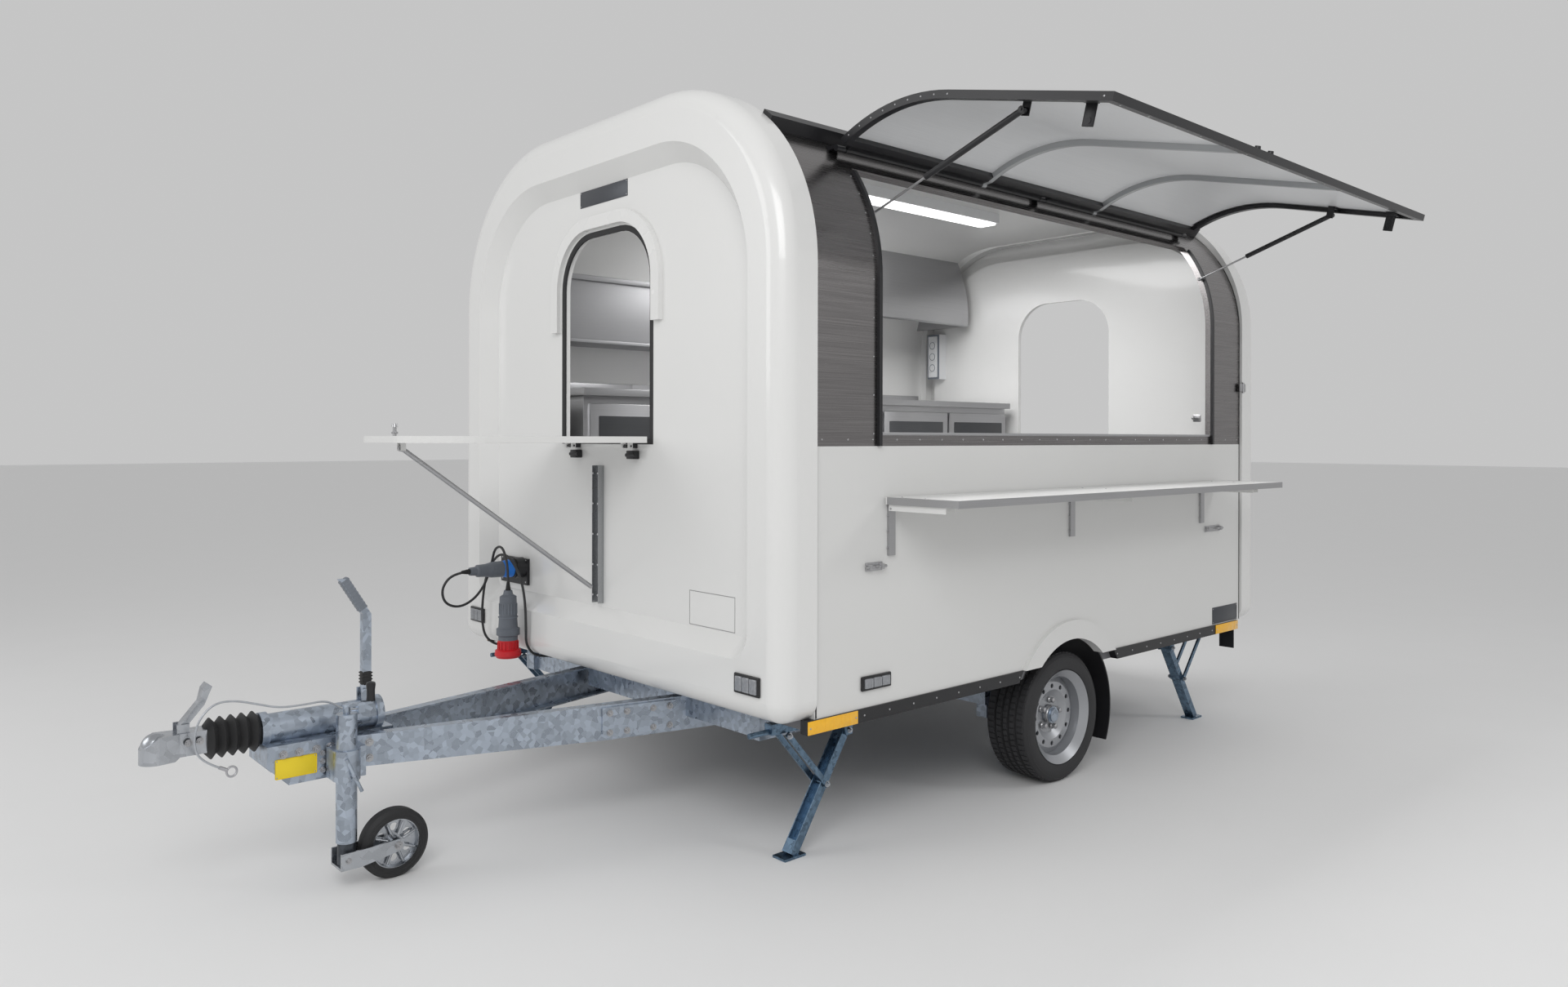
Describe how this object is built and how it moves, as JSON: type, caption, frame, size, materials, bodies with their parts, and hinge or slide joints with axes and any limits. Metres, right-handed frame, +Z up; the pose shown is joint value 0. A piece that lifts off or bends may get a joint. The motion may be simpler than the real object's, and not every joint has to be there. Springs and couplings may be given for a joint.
{
  "type": "catering trailer",
  "caption": "Single-axle catering trailer with an arched cabin, lift-up serving hatch, fold-down counter, front flap, rear door, V-drawbar, overrun coupling, jockey wheel and corner steadies.",
  "frame": {"origin": "centre of the whole outline in plan, on the ground under the tyres, as parked with hatch, counter, flap and door open", "axes": "+X forward to the coupling, +Y to the serving side (left when towed), +Z up"},
  "size_m": [4.584, 2.9464, 2.515],
  "materials": {
    "white_shell": "gloss white moulding",
    "white_panel": "gloss white sandwich panel",
    "steel": "brushed sheet",
    "galvanised": "zinc-coated steel",
    "black_frame": "satin black aluminium",
    "hatch_skin": "satin light-grey skin in a black edge",
    "dark_strip": "matte black",
    "floor": "sealed plywood",
    "rubber": "matte",
    "tyre": "matte",
    "wheel_rim": "silver paint",
    "cast": "black paint",
    "lamp": "clear coloured plastic",
    "counter": "white laminate on a metal edge",
    "inlet": "blue plastic",
    "cable": "rubber sheath"
  },
  "bodies": {
    "trailer": {"arch_lips": "dark_strip", "axle": "galvanised", "bellows": "rubber", "breakaway_cable": "cable", "cabin_fittings": "white_panel", "chassis_frame": "galvanised", "cord_adapter": "cable", "cord_loop": "cable", "corner_plates": "dark_strip", "coupling_head": "cast", "door_hinge": "steel", "drawbar_rails": "galvanised", "floor_panel": "floor", "front_fittings": "white_shell", "front_shell": "white_shell", "gutter_rail": "black_frame", "hatch_hinge": "black_frame", "hood": "steel", "jockey_outer_tube": "galvanised", "kitchen_unit": "steel", "lamps": "lamp", "overrun_housing": "galvanised", "power_inlet": "inlet", "power_plugs": "inlet", "rear_shell": "white_shell", "roof_panel": "white_panel", "side_panels": "white_panel", "sill_strips": "dark_strip", "steady_guides": "galvanised", "steel_surround": "steel", "wall_fittings": "steel", "wheel_boxes": "dark_strip"},
    "wheel_left": {"rim_left": "wheel_rim", "tyre_left": "tyre"},
    "wheel_right": {"rim_right": "wheel_rim", "tyre_right": "tyre"},
    "hatch": {"serving_hatch": "hatch_skin", "hatch_frame": "black_frame"},
    "strut_tube_front": {"strut_tube_front": "black_frame"},
    "strut_rod_front": {"strut_rod_front": "steel"},
    "strut_tube_rear": {"strut_tube_rear": "black_frame"},
    "strut_rod_rear": {"strut_rod_rear": "steel"},
    "shelf": {"counter_shelf": "counter"},
    "flap": {"front_flap": "counter"},
    "flap_bar": {"flap_bar": "steel"},
    "rear_door": {"rear_door": "white_shell"},
    "coupling_handle": {"coupling_handle": "cast"},
    "handbrake": {"handbrake_lever": "galvanised"},
    "jockey_tube": {"jockey_inner_tube": "galvanised"},
    "jockey_fork": {"jockey_fork": "galvanised"},
    "jockey_wheel": {"jockey_wheel": "rubber", "jockey_rim": "wheel_rim"},
    "steady_front_left": {"steady_leg_front_left": "galvanised"},
    "brace_front_left": {"steady_brace_front_left": "galvanised"},
    "steady_front_right": {"steady_leg_front_right": "galvanised"},
    "brace_front_right": {"steady_brace_front_right": "galvanised"},
    "steady_rear_left": {"steady_leg_rear_left": "galvanised"},
    "brace_rear_left": {"steady_brace_rear_left": "galvanised"},
    "steady_rear_right": {"steady_leg_rear_right": "galvanised"},
    "brace_rear_right": {"steady_brace_rear_right": "galvanised"}
  },
  "joints": [
    {"name": "wheel_left_spin", "type": "hinge", "parent": "trailer", "child": "wheel_left", "pos_m": [-0.682, 0.474, 0.252], "axis": [0, 1, 0], "continuous": true},
    {"name": "wheel_right_spin", "type": "hinge", "parent": "trailer", "child": "wheel_right", "pos_m": [-0.682, -1.336, 0.252], "axis": [0, 1, 0], "continuous": true},
    {"name": "hatch_hinge", "type": "hinge", "parent": "trailer", "child": "hatch", "pos_m": [-0.708, 0.44419, 2.29996], "axis": [1, 0, 0], "range_deg": [-76.3, 0]},
    {"name": "strut_front_pin", "type": "hinge", "parent": "hatch", "child": "strut_tube_front", "pos_m": [0.384, 1.13519, 2.28468], "axis": [1, 0, 0], "range_deg": [-27.98, 0.05]},
    {"name": "strut_front_stroke", "type": "slide", "parent": "strut_tube_front", "child": "strut_rod_front", "axis": [0, 0.9426, 0.3341], "range_m": [-0.0002, 0.16521]},
    {"name": "strut_rear_pin", "type": "hinge", "parent": "hatch", "child": "strut_tube_rear", "pos_m": [-1.8, 1.13519, 2.28468], "axis": [1, 0, 0], "range_deg": [-27.98, 0.05]},
    {"name": "strut_rear_stroke", "type": "slide", "parent": "strut_tube_rear", "child": "strut_rod_rear", "axis": [0, 0.9426, 0.3341], "range_m": [-0.0002, 0.16521]},
    {"name": "shelf_hinge", "type": "hinge", "parent": "trailer", "child": "shelf", "pos_m": [-0.743, 0.621, 1.114], "axis": [1, 0, 0], "range_deg": [-88, 0]},
    {"name": "flap_hinge", "type": "hinge", "parent": "trailer", "child": "flap", "pos_m": [0.82, -0.431, 1.312], "axis": [0, 1, 0], "range_deg": [-90, 0]},
    {"name": "flap_bar_pin", "type": "hinge", "parent": "flap", "child": "flap_bar", "pos_m": [1.537, -0.461, 1.306], "axis": [0, 1, 0], "range_deg": [-0.05, 36.13]},
    {"name": "rear_door_hinge", "type": "hinge", "parent": "trailer", "child": "rear_door", "pos_m": [-2.247, -0.111, 1.3], "axis": [0, 0, 1], "range_deg": [0, 180]},
    {"name": "coupling_handle_hinge", "type": "hinge", "parent": "trailer", "child": "coupling_handle", "pos_m": [2.186, -0.431, 0.524], "axis": [0, 1, 0], "range_deg": [0, 45]},
    {"name": "handbrake_hinge", "type": "hinge", "parent": "trailer", "child": "handbrake", "pos_m": [1.664, -0.431, 0.541], "axis": [0, 1, 0], "range_deg": [-70, 0]},
    {"name": "jockey_slide", "type": "slide", "parent": "trailer", "child": "jockey_tube", "axis": [0, 0, 1], "range_m": [-0.15, 0.05]},
    {"name": "jockey_swivel", "type": "hinge", "parent": "jockey_tube", "child": "jockey_fork", "pos_m": [1.78, -0.276, 0.076], "axis": [0, 0, 1], "continuous": true},
    {"name": "jockey_roll", "type": "hinge", "parent": "jockey_fork", "child": "jockey_wheel", "pos_m": [1.638, -0.276, 0.104], "axis": [0, 1, 0], "continuous": true},
    {"name": "steady_front_left_leg", "type": "hinge", "parent": "trailer", "child": "steady_front_left", "pos_m": [0.392, 0.419, 0.37], "axis": [0, -1, 0], "range_deg": [0, 52]},
    {"name": "steady_front_left_brace", "type": "hinge", "parent": "steady_front_left", "child": "brace_front_left", "pos_m": [0.49699, 0.419, 0.21164], "axis": [0, 1, 0], "range_deg": [-0.05, 90.63]},
    {"name": "steady_front_right_leg", "type": "hinge", "parent": "trailer", "child": "steady_front_right", "pos_m": [0.392, -1.281, 0.37], "axis": [0, -1, 0], "range_deg": [0, 52]},
    {"name": "steady_front_right_brace", "type": "hinge", "parent": "steady_front_right", "child": "brace_front_right", "pos_m": [0.49699, -1.281, 0.21164], "axis": [0, 1, 0], "range_deg": [-0.05, 90.63]},
    {"name": "steady_rear_left_leg", "type": "hinge", "parent": "trailer", "child": "steady_rear_left", "pos_m": [-1.748, 0.419, 0.37], "axis": [0, 1, 0], "range_deg": [0, 52]},
    {"name": "steady_rear_left_brace", "type": "hinge", "parent": "steady_rear_left", "child": "brace_rear_left", "pos_m": [-1.85299, 0.419, 0.21164], "axis": [0, -1, 0], "range_deg": [-0.05, 90.63]},
    {"name": "steady_rear_right_leg", "type": "hinge", "parent": "trailer", "child": "steady_rear_right", "pos_m": [-1.748, -1.281, 0.37], "axis": [0, 1, 0], "range_deg": [0, 52]},
    {"name": "steady_rear_right_brace", "type": "hinge", "parent": "steady_rear_right", "child": "brace_rear_right", "pos_m": [-1.85299, -1.281, 0.21164], "axis": [0, -1, 0], "range_deg": [-0.05, 90.63]}
  ],
  "couplings": [
    {"joint": "strut_front_pin", "follows": "hatch_hinge", "ratio": 0.36611},
    {"joint": "strut_front_stroke", "follows": "hatch_hinge", "m_per_rad": -0.12391},
    {"joint": "strut_rear_pin", "follows": "hatch_hinge", "ratio": 0.36611},
    {"joint": "strut_rear_stroke", "follows": "hatch_hinge", "m_per_rad": -0.12391},
    {"joint": "flap_bar_pin", "follows": "flap_hinge", "ratio": -0.40087},
    {"joint": "steady_front_left_brace", "follows": "steady_front_left_leg", "ratio": 1.742},
    {"joint": "steady_front_right_brace", "follows": "steady_front_right_leg", "ratio": 1.742},
    {"joint": "steady_rear_left_brace", "follows": "steady_rear_left_leg", "ratio": 1.742},
    {"joint": "steady_rear_right_brace", "follows": "steady_rear_right_leg", "ratio": 1.742}
  ]
}
